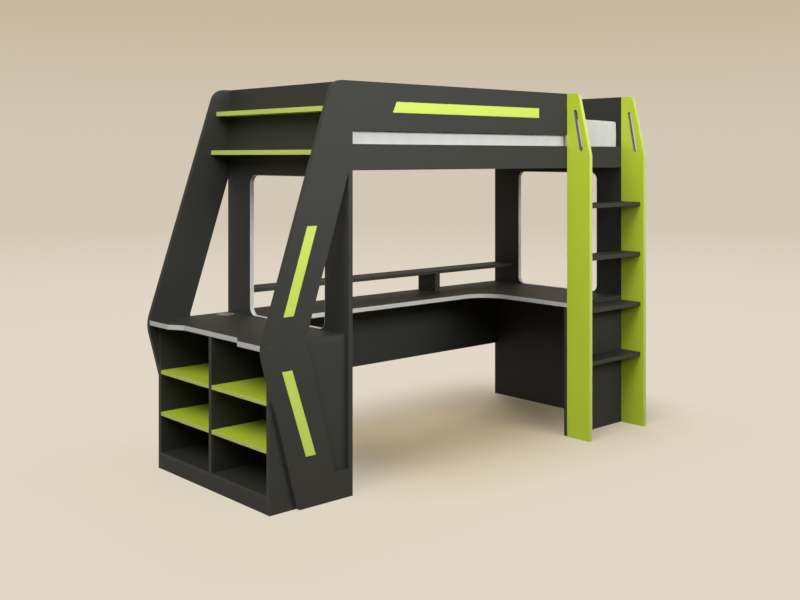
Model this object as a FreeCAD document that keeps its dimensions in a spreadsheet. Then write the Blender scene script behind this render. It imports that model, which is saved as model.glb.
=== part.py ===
"""High sleeper bed with a bookcase end, two desks and a ladder.

Millimetres, +Z up, +X towards the ladder end, -Y towards the ladder side. The origin lies on the floor
in the middle of the whole outline. Each piece is written to parts/ under its own name.
"""
import FreeCAD, Part
import math
import os
import re
import Sketcher

SIZES = {
    # Boards, edge bands and fits
    "board": 22,
    "shelf_board": 18,
    "band": 2,
    "glue_line": 0.1,
    "play": 0.15,
    # Bed
    "bed_height": 1800,
    "bed_length": 1924,
    "bed_width": 954,
    "guard_height": 216,
    "rail_gap": 59,
    "side_rail_height": 115,
    "window_front": 168,
    "window_back": 194,
    "window_drop": 29,
    "window_radius": 42,
    # Side plates
    "arm_reach": 469,
    "knee_drop": 21.7,
    "knee_radius": 150,
    "plate_top_width": 107.3,
    "plate_foot_width": 294.7,
    "upper_arm_width": 205,
    "lower_arm_width": 222,
    "plate_top_radius": 72,
    "foot_radius": 20,
    "cut_floor": 120,
    "cut_knee_radius": 40,
    "cut_radius": 20,
    # Inlaid strips
    "strip_width": 49,
    "strip_rise": 370,
    "strip_depth": 3,
    "strip_proud": 0.5,
    "upper_strip_lift": 315.7,
    "upper_strip_inset": 67,
    "lower_strip_drop": 277.3,
    "lower_strip_inset": 88,
    "rail_strip_start": 233,
    "rail_strip_end_gap": 246,
    "rail_strip_slant": 23,
    # Slats and mattress
    "mattress_lift": 68,
    "mattress_end_gap": 4,
    "mattress_side_gap": 3,
    "mattress_thickness": 200,
    "mattress_corner": 20,
    "mattress_edge": 20,
    "mattress_crown": 9,
    "mattress_crown_run": 260,
    "mattress_draw": 4,
    "slat_count": 14,
    "slat_width": 68,
    "slat_thickness": 18,
    "slat_margin": 60,
    "slat_gap": 2,
    "batten_height": 30,
    "batten_width": 22,
    "batten_margin": 50,
    "tape_width": 38,
    "tape_thickness": 1,
    "tape_inset": 230,
    # Head shelves
    "upper_head_shelf_drop": 110,
    "upper_head_shelf_depth": 82,
    "lower_head_shelf_drop": 300,
    "lower_head_shelf_depth": 112,
    # Bookcase
    "bookcase_setback": 48,
    "cable_space": 110,
    "plinth_height": 60,
    "lower_shelf_base": 250,
    "upper_shelf_base": 446,
    "shelf_gap": 1,
    # Desks
    "desk_height": 700,
    "desk_setback": 1,
    "recess_depth": 44,
    "recess_mouth": 576,
    "recess_floor": 437,
    "recess_radius": 24,
    "back_desk_depth": 360,
    "side_desk_setback": 2,
    "desk_corner_radius": 160,
    "modesty_height": 360,
    "cleat_height": 40,
    "cleat_margin": 40,
    "monitor_shelf_depth": 142,
    "monitor_shelf_rise": 100,
    "fin_thickness": 37,
    "fin_offset": 330,
    # Cable grommet
    "grommet_from_panel": 75,
    "grommet_from_plate": 72,
    "grommet_hole": 80,
    "grommet_wall": 2.5,
    "grommet_flange": 88,
    "grommet_flange_thickness": 3,
    "grommet_ledge_width": 4,
    "cap_thickness": 4,
    "cap_play": 0.4,
    "cap_slot_width": 20,
    "cap_slot_depth": 24,
    "cap_edge": 0.8,
    # Ladder
    "ladder_reach": 148,
    "ladder_width": 448,
    "stile_top_depth": 73,
    "stile_top_radius": 28,
    "taper_drop": 322,
    "taper_radius": 90,
    "slot_drop": 304,
    "slot_rise": 219,
    "slot_inset": 42,
    "slot_lean": 42,
    "slot_width": 24,
    "slot_radius": 11,
    "tread_setback": 21,
    "tread_count": 4,
    "first_tread_top": 404,
    "tread_drop": 302,
    "tread_edge": 4,
    # Fasteners
    "dowel_diameter": 8,
    "dowel_length": 30,
    "dowel_bite": 14,
    "pin_diameter": 5,
    "pin_bite": 9,
    "pin_head": 7,
    "pin_reach": 8,
    "pin_inset": 40,
    "screw_diameter": 6.5,
    "screw_length": 48,
    "screw_head": 10,
    "screw_head_height": 3,
    "cover_cap_diameter": 12,
    "cover_cap_thickness": 2.5,
    "desk_screw_front": 36,
    "desk_screw_pitch": 135,
    "bolt_diameter": 6,
    "bolt_head": 14,
    "bolt_head_height": 3,
    "bolt_length": 72,
    "nut_diameter": 10,
    "nut_length": 16,
    "nut_setback": 45,
    "bracket_leg": 40,
    "bracket_height": 50,
    "bracket_thickness": 2.5,
    "bracket_bend": 1.5,
    "bracket_rise": 6,
    "bracket_drop": 30,
    "small_screw_diameter": 4,
    "small_screw_length": 16,
    "small_screw_head": 8,
    "small_screw_head_height": 2.4,
}
# Sizes that follow from the ones above
FOLLOWING = {
    "side_rail_base": "bed_height - guard_height - rail_gap - side_rail_height",
    "mattress_length": "bed_length - 2 * mattress_end_gap",
    "mattress_width": "bed_width - 2 * board - 2 * mattress_side_gap",
    "knee_height": "desk_height - knee_drop",
    "top_run": "arm_reach - knee_radius - plate_top_width",
    "top_rise": "bed_height - knee_height",
    "foot_run": "arm_reach - knee_radius - plate_foot_width",
    "upper_lean": "atan(top_run / top_rise) + asin(knee_radius / sqrt(top_run ^ 2 + top_rise ^ 2))",
    "lower_lean": "atan(foot_run / knee_height) + asin(knee_radius / sqrt(foot_run ^ 2 + knee_height ^ 2))",
    "knee_arm": "knee_radius / cos((upper_lean + lower_lean) / 2)",
    "knee_reach": "arm_reach - knee_radius + knee_arm * cos((upper_lean - lower_lean) / 2)",
    "knee_corner": "knee_height + knee_arm * sin((upper_lean - lower_lean) / 2)",
    "upper_strip_height": "knee_height + upper_strip_lift",
    "lower_strip_height": "knee_height - lower_strip_drop",
    "rail_strip_length": "bed_length - ladder_width - rail_strip_start - rail_strip_end_gap",
    "upper_head_shelf_top": "bed_height - upper_head_shelf_drop",
    "lower_head_shelf_top": "bed_height - lower_head_shelf_drop",
    "bookcase_reach": "arm_reach - bookcase_setback",
    "desk_reach": "arm_reach - desk_setback",
    "side_desk_width": "ladder_width + board - side_desk_setback",
    "taper_height": "bed_height - taper_drop",
    "slot_base": "bed_height - slot_drop",
    "tread_depth": "ladder_reach - tread_setback",
    "tread_pitch": "(side_rail_base + side_rail_height - tread_drop - first_tread_top) / (tread_count - 1)",
}
PLATE_DOWEL_SHARES = (0.05, 0.33, 0.62, 0.94)
STILE_DOWEL_SHARES = (0.06, 0.3, 0.6, 0.94)
PAIR_SHARES = (0.25, 0.75)
LOWER_STRIP_SLOPE_SHARE = 0.32955705
BRACKET_HOLE_SHARE = 0.65
SNAP = 1e-4

doc = FreeCAD.newDocument("HighSleeper")
sheet = doc.addObject("Spreadsheet::Sheet", "Sizes")
cells = {alias: str(size) for alias, size in SIZES.items()}
cells.update({alias: "=" + text for alias, text in FOLLOWING.items()})
for row, (alias, entry) in enumerate(cells.items(), start=1):
    sheet.set(f"A{row}", alias)
    sheet.set(f"B{row}", entry)
    sheet.setAlias(f"B{row}", alias)
doc.recompute()

pieces = {}
bores = {}
groups = {}

# Where things lie, as expressions of the sizes
HEAD = "(arm_reach - bed_length - board) / 2"
FRONT = "(ladder_reach - bed_width) / 2"
BACK_FACE = "bed_width - board"
INNER_WIDTH = "(bed_width - 2 * board)"
GUARD_BASE = "bed_height - guard_height"
MATTRESS_BASE = "side_rail_base + mattress_lift"
SLAT_BASE = f"{MATTRESS_BASE} - slat_thickness"
DESK_BASE = "desk_height - board"
WINDOW_TOP = "side_rail_base - window_drop"


def bound(text):
    """The expression with each size's name led to its cell."""
    return re.sub(r"[a-z]\w*", lambda m: "Sizes." + m[0] if m[0] in cells else m[0], text)


def value(text):
    return float(sheet.evalExpression(bound(text)))


def count(alias):
    return round(value(alias))


def bind(thing, **links):
    for name, text in links.items():
        thing.setExpression(name, bound(text))


def place(thing, x, y, z):
    """Puts a piece at x from the head panel's inner face, y from the front rails' face, z from the floor."""
    thing.setExpression("Placement.Base.x", bound(f"{HEAD} + {x}"))
    thing.setExpression("Placement.Base.y", bound(f"{FRONT} + {y}"))
    thing.setExpression("Placement.Base.z", bound(z))


def keep(name, thing, group=None):
    """Lists a piece under its own name, or as one of a group."""
    pieces[name] = thing
    groups.setdefault(group or name, []).append(name)
    return thing


def plank(name, x, y, z, length, width, height, group=None):
    """A square-edged board with its lowest corner at x, y, z."""
    box = doc.addObject("Part::Box", name + "_blank")
    bind(box, Length=length, Width=width, Height=height)
    place(box, x, y, z)
    return keep(name, box, group)


# Sawn boards: a corner is two distances from the sketch's origin and, where it is rounded, a radius

def sketch_on(body, plane, name):
    sketch = body.newObject("Sketcher::SketchObject", name)
    support = next(item for item in body.Origin.OriginFeatures if item.Role == plane)
    sketch.AttachmentSupport = (support, [""])
    sketch.MapMode = "FlatFace"
    return sketch


def trace(sketch, corners):
    """Draws a closed loop whose corners are held by their distances from the origin."""
    first = sketch.GeometryCount
    spots = [FreeCAD.Vector(value(corner[0]), value(corner[1]), 0) for corner in corners]
    for here, there in zip(spots, spots[1:] + spots[:1]):
        sketch.addGeometry(Part.LineSegment(here, there))
    for step, corner in enumerate(corners):
        line = first + step
        before = first + (step - 1) % len(corners)
        sketch.addConstraint(Sketcher.Constraint("Coincident", before, 2, line, 1))
        for kind, axis, distance in (("DistanceX", -2, corner[0]), ("DistanceY", -1, corner[1])):
            if distance == "0":
                sketch.addConstraint(Sketcher.Constraint("PointOnObject", line, 1, axis))
                continue
            index = sketch.addConstraint(Sketcher.Constraint(kind, -1, 1, line, 1, value(distance)))
            sketch.setExpression(f"Constraints[{index}]", bound(distance))


def edges_at(shape, plane, corners):
    """Names of the edges that run square to the plane through the corners."""
    axes = {"XY_Plane": "xy", "XZ_Plane": "xz", "YZ_Plane": "yz"}[plane]
    spots = [(value(corner[0]), value(corner[1])) for corner in corners]
    names = []
    for number, edge in enumerate(shape.Edges, start=1):
        ends = [(getattr(v.Point, axes[0]), getattr(v.Point, axes[1])) for v in edge.Vertexes]
        if any(all(math.dist(end, spot) < SNAP for end in ends) for spot in spots):
            names.append(f"Edge{number}")
    return names


def round_off(body, base, plane, loops):
    """Rounds the listed corners, one fillet for each radius."""
    radii = {}
    for corner in [corner for loop in loops for corner in loop if len(corner) == 3]:
        radii.setdefault(corner[2], []).append(corner)
    for radius, corners in radii.items():
        doc.recompute()
        fillet = body.newObject("PartDesign::Fillet", f"{body.Name}_round")
        fillet.Base = (base, edges_at(base.Shape, plane, corners))
        fillet.setExpression("Radius", bound(radius))
        base = fillet
    return base


def sawn(name, plane, outline, thickness, holes=(), group=None):
    """A board cut to an outline, with holes, lying on the positive side of the plane."""
    body = doc.addObject("PartDesign::Body", name + "_blank")
    sketch = sketch_on(body, plane, name + "_outline")
    for loop in (outline, *holes):
        trace(sketch, loop)
    pad = body.newObject("PartDesign::Pad", name + "_pad")
    pad.Profile = sketch
    pad.Reversed = plane == "XZ_Plane"
    bind(pad, Length=thickness)
    round_off(body, pad, plane, (outline, *holes))
    doc.recompute()
    return keep(name, body, group)


def sink(body, name, corners, depth):
    """Sinks a recess into the face that lies on the XZ plane."""
    doc.recompute()
    before = body.Shape.Volume
    sketch = sketch_on(body, "XZ_Plane", name + "_recess_outline")
    trace(sketch, corners)
    pocket = body.newObject("PartDesign::Pocket", name + "_recess")
    pocket.Profile = sketch
    bind(pocket, Length=depth)
    doc.recompute()
    if body.Shape.Volume >= before:
        raise RuntimeError(f"{name}: the recess takes nothing away")


# Turned pieces and the bores they go in

AIMS = {
    "+x": FreeCAD.Vector(1, 0, 0), "-x": FreeCAD.Vector(-1, 0, 0),
    "+y": FreeCAD.Vector(0, 1, 0), "-y": FreeCAD.Vector(0, -1, 0),
    "+z": FreeCAD.Vector(0, 0, 1),
}


def rod(name, aim, spot, start, diameter, length):
    """A cylinder that begins at the distance start beyond the spot and runs along the aim."""
    cylinder = doc.addObject("Part::Cylinder", name)
    turn = FreeCAD.Rotation(FreeCAD.Vector(0, 0, 1), AIMS[aim])
    cylinder.Placement = FreeCAD.Placement(FreeCAD.Vector(), turn)
    bind(cylinder, Radius=f"({diameter}) / 2", Height=length)
    spot = list(spot)
    axis = "xyz".index(aim[1])
    spot[axis] = f"{spot[axis]} {aim[0]} ({start})"
    place(cylinder, *spot)
    return cylinder


def fastener(group, aim, spot, segments, boards):
    """A turned fastener of (diameter, length) segments from the spot on; the boards get bores to fit."""
    name = f"{group}_{len(groups.get(group, [])) + 1}"
    rods = []
    holes = []
    start = "0"
    for number, (diameter, length) in enumerate(segments):
        lead = "play" if number == 0 else "0"
        tail = "play" if number == len(segments) - 1 else "0"
        rods.append(rod(f"{name}_rod", aim, spot, start, diameter, length))
        hole = rod(f"{name}_bore", aim, spot, f"{start} - {lead}",
                   f"{diameter} + 2 * play", f"{length} + {lead} + {tail}")
        holes.append(hole)
        start = f"{start} + {length}"
    for board_name in boards:
        bores.setdefault(board_name, []).extend(holes)
    if len(rods) == 1:
        return keep(name, rods[0], group)
    fused = doc.addObject("Part::MultiFuse", name + "_fused")
    fused.Shapes = rods
    return keep(name, fused, group)


# Side plates with their inlays

UPPER_SPAN = "upper_arm_width / cos(upper_lean)"
LOWER_SPAN = "lower_arm_width / cos(lower_lean)"


def leaning_strip(middle, inset, sense, lean, margin="0"):
    """Corners of a leaning strip; its outer edge is at the inset where the strip's middle is."""
    half = f"(strip_rise / 2 - {margin})"
    span = f"strip_width / cos({lean})"
    corners = []
    for side, ends in ((f"{inset} + {margin}", "-+"), (f"{inset} + {span} - {margin}", "+-")):
        for end in ends:
            shift = f"{sense} 1 * ({end} 1) * {half} * tan({lean})"
            corners.append((f"{side} {shift}", f"{middle} {end} {half}"))
    return corners


def side_plates():
    outline = [
        ("0", "knee_corner", "knee_radius"),
        ("knee_reach - plate_foot_width", "0", "foot_radius"),
        ("knee_reach", "0"),
        ("knee_reach", "bed_height"),
        ("knee_reach - plate_top_width", "bed_height", "plate_top_radius"),
    ]
    strip = "knee_reach - board"
    apex = f"knee_corner + ({strip} - {UPPER_SPAN}) / tan(upper_lean)"
    knee_rise = f"({LOWER_SPAN} - {UPPER_SPAN}) / (tan(upper_lean) + tan(lower_lean))"
    cut_out = [
        (strip, "cut_floor"),
        (strip, apex),
        (f"{UPPER_SPAN} + {knee_rise} * tan(upper_lean)", f"knee_corner + {knee_rise}", "cut_knee_radius"),
        (f"{LOWER_SPAN} + (knee_corner - cut_floor) * tan(lower_lean)", "cut_floor", "cut_radius"),
    ]
    for name, y in (("front_side_plate", "0"), ("back_side_plate", BACK_FACE)):
        plate = sawn(name, "XZ_Plane", outline, "board", [cut_out])
        place(plate, "-knee_reach", y, "0")
    upper_inset = "(upper_strip_height - knee_corner) * tan(upper_lean) + upper_strip_inset"
    lower_inset = "(knee_corner - lower_strip_height) * tan(lower_lean) + lower_strip_inset"
    for name, *course in (
        ("upper_inlay", "upper_strip_height", upper_inset, "+", "upper_lean"),
        ("lower_inlay", "lower_strip_height", lower_inset, "-", f"atan({LOWER_STRIP_SLOPE_SHARE})"),
    ):
        sink(pieces["front_side_plate"], name, leaning_strip(*course), "strip_depth")
        inlay = sawn(name, "XZ_Plane", leaning_strip(*course, "glue_line"), "strip_depth + strip_proud")
        place(inlay, "-knee_reach", "-strip_proud", "0")


# End panels and rails

def window(start, margin):
    """Corners of an end panel's window, drawn in by the margin, from a panel edge at start."""
    near = f"window_front - {start} + {margin}"
    far = f"bed_width - window_back - {start} - {margin}"
    low = f"desk_height + {margin}"
    high = f"{WINDOW_TOP} - {margin}"
    radius = f"window_radius - {margin}"
    return [(near, low, radius), (far, low, radius), (far, high, radius), (near, high, radius)]


def end_panels():
    for end, x, start, width in (
        ("head", "-board", "board", INNER_WIDTH),
        ("foot", "bed_length", "0", "bed_width"),
    ):
        outline = [("0", "0"), (width, "0"), (width, "bed_height"), ("0", "bed_height")]
        panel = sawn(f"{end}_end_panel", "YZ_Plane", outline, "board", [window(start, "0")])
        edging = sawn(f"{end}_window_edging", "YZ_Plane", window(start, "glue_line"), "board",
                      [window(start, "band")])
        for piece in (panel, edging):
            place(piece, x, start, "0")


def rails():
    length = "bed_length - ladder_width"
    guard = sawn("front_guard_rail", "XZ_Plane",
                 [("0", "0"), (length, "0"), (length, "guard_height"), ("0", "guard_height")], "board")
    place(guard, "0", "0", GUARD_BASE)

    def strip(margin):
        low = f"(guard_height - strip_width) / 2 + {margin}"
        high = f"(guard_height + strip_width) / 2 - {margin}"
        start = f"rail_strip_start + {margin}"
        end = f"rail_strip_start + rail_strip_length - {margin}"
        return [(start, low), (end, low), (end, high), (f"{start} + rail_strip_slant", high)]

    sink(guard, "rail_inlay", strip("0"), "strip_depth")
    inlay = sawn("rail_inlay", "XZ_Plane", strip("glue_line"), "strip_depth + strip_proud")
    place(inlay, "0", "-strip_proud", GUARD_BASE)
    plank("back_guard_rail", "0", BACK_FACE, GUARD_BASE, "bed_length", "board", "guard_height")
    plank("front_side_rail", "0", "0", "side_rail_base", "bed_length", "board", "side_rail_height")
    plank("back_side_rail", "0", BACK_FACE, "side_rail_base", "bed_length", "board", "side_rail_height")


# Slats and mattress

def slats():
    for name, y in (("front_slat_batten", "board"), ("back_slat_batten", f"{BACK_FACE} - batten_width")):
        plank(name, "batten_margin", y, f"{SLAT_BASE} - batten_height",
              "bed_length - 2 * batten_margin", "batten_width", "batten_height")
    pitch = "(bed_length - 2 * slat_margin - slat_width) / (slat_count - 1)"
    for number in range(count("slat_count")):
        plank(f"slat_{number + 1}", f"slat_margin + {number} * {pitch}", "board + slat_gap", SLAT_BASE,
              "slat_width", f"{INNER_WIDTH} - 2 * slat_gap", "slat_thickness", group="slats")
    for name, y in (("front_tape", "tape_inset"), ("back_tape", "bed_width - tape_inset - tape_width")):
        plank(name, "slat_margin", y, f"{SLAT_BASE} - tape_thickness",
              "bed_length - 2 * slat_margin", "tape_width", "tape_thickness", group="slat_tapes")


def pillow_loop(inset, height):
    """A plan outline of the mattress at a height: rounded corners and sides that draw in a little."""
    half_x = value("mattress_length / 2") - inset
    half_y = value("mattress_width / 2") - inset
    radius = value("mattress_corner")
    draw = value("mattress_draw")
    bulge = radius * (1 - math.sqrt(0.5))
    flat_x = half_x - radius
    flat_y = half_y - radius
    rounds = [
        ((half_x, flat_y), (half_x - bulge, half_y - bulge), (flat_x, half_y)),
        ((flat_x, half_y), (0, half_y - draw), (-flat_x, half_y)),
        ((-flat_x, half_y), (bulge - half_x, half_y - bulge), (-half_x, flat_y)),
        ((-half_x, flat_y), (draw - half_x, 0), (-half_x, -flat_y)),
        ((-half_x, -flat_y), (bulge - half_x, bulge - half_y), (-flat_x, -half_y)),
        ((-flat_x, -half_y), (0, draw - half_y), (flat_x, -half_y)),
        ((flat_x, -half_y), (half_x - bulge, bulge - half_y), (half_x, -flat_y)),
        ((half_x, -flat_y), (half_x - draw, 0), (half_x, flat_y)),
    ]
    arcs = [Part.Arc(*[FreeCAD.Vector(x, y, height) for x, y in spots]) for spots in rounds]
    return Part.Wire([arc.toShape() for arc in arcs])


def mattress():
    edge = value("mattress_edge")
    crown = value("mattress_crown")
    run = value("mattress_crown_run")
    top = value("mattress_thickness")
    steps = 4
    turns = [math.pi / 2 * step / steps for step in range(steps + 1)]
    levels = [(edge * (1 - math.sin(turn)), edge * (1 - math.cos(turn))) for turn in turns]
    levels += [(inset, top - crown - height) for inset, height in reversed(levels)]
    for step in range(1, steps + 1):
        share = step / steps
        levels.append((edge + run * share, top - crown * (1 - share) ** 2))
    solid = Part.makeLoft([pillow_loop(inset, height) for inset, height in levels], True, True)
    body = doc.addObject("Part::Feature", "mattress_blank")
    body.Shape = solid
    place(body, "bed_length / 2", "bed_width / 2", MATTRESS_BASE)
    keep("mattress", body)


# Shelves at the head end and the bookcase below

def head_shelves():
    for level in ("upper", "lower"):
        depth = f"{level}_head_shelf_depth"
        plank(f"{level}_head_shelf", f"-board - {depth}", "board", f"{level}_head_shelf_top - board",
              depth, INNER_WIDTH, "board")


def bookcase():
    front = "-bookcase_reach"
    depth = "bookcase_reach - board - cable_space - shelf_board"
    inside = "bed_width - 4 * board"
    floor = "plinth_height + shelf_board"
    for name, y in (("bookcase_near_side", "board"), ("bookcase_far_side", f"{BACK_FACE} - board")):
        plank(name, front, y, "0", "bookcase_reach - board", "board", DESK_BASE)
    plank("bookcase_divider", front, "(bed_width - board) / 2", floor,
          depth, "board", f"{DESK_BASE} - ({floor})")
    plank("bookcase_bottom", front, "2 * board", "plinth_height", depth, inside, "shelf_board")
    plank("bookcase_plinth", front, "2 * board", "0", "shelf_board", inside, "plinth_height")
    plank("bookcase_back", "-board - cable_space - shelf_board", "2 * board", "plinth_height",
          "shelf_board", inside, f"{DESK_BASE} - plinth_height")
    bay = "(bed_width - board) / 2 - 2 * board"
    walls = {
        "near": ("2 * board", "bookcase_near_side", "bookcase_divider"),
        "far": ("(bed_width + board) / 2", "bookcase_divider", "bookcase_far_side"),
    }
    for side, (start, left, right) in walls.items():
        for level in ("upper", "lower"):
            base = f"{level}_shelf_base"
            plank(f"{side}_{level}_shelf", front, f"{start} + shelf_gap", base,
                  depth, f"{bay} - 2 * shelf_gap", "shelf_board")
            for x in (f"{front} + pin_inset", f"{front} + {depth} - pin_inset"):
                pin = [("pin_diameter", "pin_bite"), ("pin_head", "pin_reach")]
                height = f"{base} - pin_head / 2"
                fastener("shelf_pins", "+y", (x, f"{start} - pin_bite", height), pin, [left])
                fastener("shelf_pins", "-y", (x, f"{start} + {bay} + pin_bite", height), pin, [right])


# Desks

def recess_line(x):
    """The left desk's front line at a distance from the band's face, from the front plate to the back."""
    middle = f"{INNER_WIDTH} / 2"
    return [
        (x, "0"),
        (x, f"{middle} - recess_mouth / 2", "recess_radius"),
        (f"{x} + recess_depth", f"{middle} - recess_floor / 2", "recess_radius"),
        (f"{x} + recess_depth", f"{middle} + recess_floor / 2", "recess_radius"),
        (x, f"{middle} + recess_mouth / 2", "recess_radius"),
        (x, INNER_WIDTH),
    ]


def left_desk():
    depth = "desk_reach - board"
    top = sawn("left_desk_top", "XY_Plane",
               [*recess_line("band"), (depth, INNER_WIDTH), (depth, "0")], "board")
    edging = sawn("left_desk_edging", "XY_Plane",
                  recess_line("0") + recess_line("band - glue_line")[::-1], "board")
    for piece in (top, edging):
        place(piece, "-desk_reach", "board", DESK_BASE)


def corner_desk():
    edge_x = "bed_length - side_desk_width"
    edge_y = "bed_width - back_desk_depth"

    def inner_edge(margin):
        return [("0", f"{edge_y} + {margin}"),
                (f"{edge_x} + {margin}", f"{edge_y} + {margin}", f"desk_corner_radius + {margin}"),
                (f"{edge_x} + {margin}", "0")]

    top = sawn("corner_desk_top", "XY_Plane",
               [*inner_edge("band"), ("bed_length", "0"), ("bed_length", "bed_width"), ("0", "bed_width")],
               "board")
    edging = sawn("corner_desk_edging", "XY_Plane",
                  inner_edge("0") + inner_edge("band - glue_line")[::-1], "board")
    for piece in (top, edging):
        place(piece, "0", "0", DESK_BASE)
    plank("modesty_panel", "0", BACK_FACE, f"{DESK_BASE} - modesty_height",
          "bed_length", "board", "modesty_height")
    plank("desk_leg_panel", edge_x, "0", "0", "side_desk_width", "board", DESK_BASE)
    cleat_base = f"{DESK_BASE} - cleat_height"
    plank("head_desk_cleat", "0", f"{edge_y} + cleat_margin", cleat_base,
          "board", "back_desk_depth - cleat_margin - board", "cleat_height")
    plank("foot_desk_cleat", "bed_length - board", "board + cleat_margin", cleat_base,
          "board", f"{INNER_WIDTH} - cleat_margin", "cleat_height")


def monitor_shelf():
    front = "bed_width - monitor_shelf_depth"
    plank("monitor_shelf", "0", front, "desk_height + monitor_shelf_rise",
          "bed_length", "monitor_shelf_depth", "shelf_board")
    for side, sense in (("left", "-"), ("right", "+")):
        plank(f"{side}_monitor_fin", f"(bed_length - fin_thickness) / 2 {sense} fin_offset", front,
              "desk_height", "fin_thickness", "monitor_shelf_depth", "monitor_shelf_rise")


def grommet():
    spot = ("-board - grommet_from_panel", f"{BACK_FACE} - grommet_from_plate", DESK_BASE)
    bores.setdefault("left_desk_top", []).append(
        rod("grommet_bore", "+z", spot, "-play", "grommet_hole", "board + 2 * play"))
    outer = "grommet_hole / 2 - play"
    rim = "grommet_hole / 2 - grommet_wall"
    top = "board + grommet_flange_thickness"
    ledge = f"{top} - cap_thickness"
    body = doc.addObject("PartDesign::Body", "grommet_sleeve_blank")
    sketch = sketch_on(body, "XZ_Plane", "grommet_profile")
    trace(sketch, [
        (f"{rim} - grommet_ledge_width", "0"),
        (outer, "0"),
        (outer, "board"),
        ("grommet_flange / 2", "board"),
        ("grommet_flange / 2", top),
        (rim, top),
        (rim, ledge),
        (f"{rim} - grommet_ledge_width", ledge),
    ])
    turned = body.newObject("PartDesign::Revolution", "grommet_sleeve_turned")
    turned.Profile = sketch
    turned.ReferenceAxis = (sketch, ["V_Axis"])
    doc.recompute()
    place(body, *spot)
    keep("grommet_sleeve", body)
    radius = f"{rim} - cap_play"
    disc = rod("grommet_cap_disc", "+z", spot, ledge, f"2 * ({radius})", "cap_thickness")
    eased = doc.addObject("Part::Chamfer", "grommet_cap_eased")
    eased.Base = disc
    doc.recompute()
    highest = max(disc.Shape.Edges, key=lambda edge: edge.BoundBox.ZMin)
    number = [edge.hashCode() for edge in disc.Shape.Edges].index(highest.hashCode()) + 1
    eased.Edges = [(number, value("cap_edge"), value("cap_edge"))]
    slot = doc.addObject("Part::Box", "grommet_cap_slot")
    bind(slot, Length="cap_slot_depth", Width="cap_slot_width", Height="cap_thickness + 2 * play")
    slot_x = f"{spot[0]} + {radius} - cap_slot_depth"
    place(slot, slot_x, f"{spot[1]} - cap_slot_width / 2", f"{spot[2]} + {ledge} - play")
    end = rod("grommet_cap_slot_end", "+z", (slot_x, spot[1], spot[2]),
              f"{ledge} - play", "cap_slot_width", "cap_thickness + 2 * play")
    opening = doc.addObject("Part::MultiFuse", "grommet_cap_opening")
    opening.Shapes = [slot, end]
    cap = doc.addObject("Part::Cut", "grommet_cap_blank")
    cap.Base = eased
    cap.Tool = opening
    keep("grommet_cap", cap)


# Ladder

def ladder():
    outline = [
        ("0", "0"),
        ("ladder_reach", "0"),
        ("ladder_reach", "bed_height"),
        ("ladder_reach - stile_top_depth", "bed_height", "stile_top_radius"),
        ("0", "taper_height", "taper_radius"),
    ]
    slot = [
        ("slot_inset", "slot_base", "slot_radius"),
        ("slot_inset + slot_width", "slot_base", "slot_radius"),
        ("slot_inset + slot_lean + slot_width", "slot_base + slot_rise", "slot_radius"),
        ("slot_inset + slot_lean", "slot_base + slot_rise", "slot_radius"),
    ]
    for name, x in (
        ("left_ladder_stile", "bed_length - ladder_width - board"),
        ("right_ladder_stile", "bed_length"),
    ):
        stile = sawn(name, "YZ_Plane", outline, "board", [slot])
        place(stile, x, "-ladder_reach", "0")
    section = [
        ("0", "0", "tread_edge"),
        ("tread_depth", "0"),
        ("tread_depth", "board"),
        ("0", "board", "tread_edge"),
    ]
    for number in range(count("tread_count")):
        name = f"ladder_tread_{number + 1}"
        base = f"first_tread_top + {number} * tread_pitch - board"
        tread = sawn(name, "YZ_Plane", section, "ladder_width")
        place(tread, "bed_length - ladder_width", "-tread_depth", base)
        for share in PAIR_SHARES:
            y = f"-tread_depth * {share}"
            z = f"{base} + board / 2"
            dowel("+x", ("bed_length - ladder_width - dowel_bite", y, z), ["left_ladder_stile", name])
            dowel("-x", ("bed_length + dowel_bite", y, z), ["right_ladder_stile", name])


# Fasteners

def dowel(aim, spot, boards):
    fastener("dowels", aim, spot, [("dowel_diameter", "dowel_length")], boards)


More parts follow.
